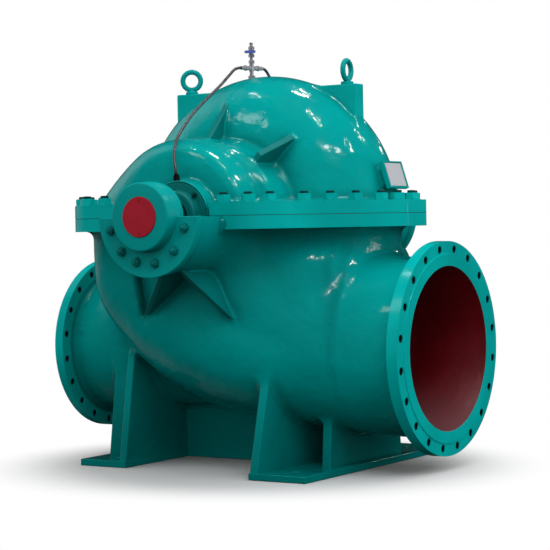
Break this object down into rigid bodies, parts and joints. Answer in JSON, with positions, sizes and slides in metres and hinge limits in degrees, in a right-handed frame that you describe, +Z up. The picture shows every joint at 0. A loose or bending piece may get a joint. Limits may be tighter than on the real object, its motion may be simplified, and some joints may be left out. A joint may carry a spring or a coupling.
{
  "type": "double-suction centrifugal pump",
  "caption": "Horizontally split double-suction pump: flanged suction and discharge nozzles in line, domed cover, shaft through both bearings, standing on cast feet.",
  "frame": {"origin": "on the floor, under the crossing of the shaft's line and the pump's middle plane, on the foot of the tie wall", "axes": "+X towards the suction flange, +Y along the shaft towards its free end, +Z up"},
  "size_m": [1.562, 1.87, 1.6071],
  "materials": {
    "casing_paint": "gloss teal enamel over cast iron",
    "red_paint": "satin red enamel",
    "steel": "machined steel, lightly oiled",
    "fittings": "polished stainless fittings",
    "hose": "braided stainless hose",
    "gasket": "matt joint sheet",
    "plate": "bare satin plate",
    "handle": "blue coated handle"
  },
  "bodies": {
    "casing": {"lower_casing": "casing_paint", "upper_casing": "casing_paint", "left_parting_gasket": "gasket", "right_parting_gasket": "gasket", "front_bearing_housing": "casing_paint", "rear_bearing_housing": "casing_paint", "front_inner_cover": "casing_paint", "rear_inner_cover": "casing_paint", "front_gland": "casing_paint", "rear_gland": "casing_paint", "front_end_disc": "red_paint", "rear_end_cover": "casing_paint", "left_eyebolt": "casing_paint", "right_eyebolt": "casing_paint", "vent_bushing": "fittings", "vent_cross": "fittings", "vent_riser": "fittings", "vent_valve_body": "fittings", "vent_outlet": "fittings", "front_flush_hose": "hose", "rear_flush_hose": "hose", "front_hose_top_fitting": "fittings", "rear_hose_top_fitting": "fittings", "front_hose_lower_fitting": "fittings", "rear_hose_lower_fitting": "fittings", "nameplate": "plate"},
    "rotor": {"shaft": "steel", "shaft_key": "steel", "front_shaft_sleeve": "steel", "rear_shaft_sleeve": "steel"},
    "vent_handle": {"vent_valve_handle": "handle"}
  },
  "joints": [
    {"name": "shaft_turn", "type": "hinge", "parent": "casing", "child": "rotor", "pos_m": [0, 0, 0.94], "axis": [0, 1, 0], "continuous": true},
    {"name": "vent_handle_turn", "type": "hinge", "parent": "casing", "child": "vent_handle", "pos_m": [-0.071, 0, 1.5711], "axis": [0.3, -0.9539, 0], "range_deg": [0, 90]}
  ]
}
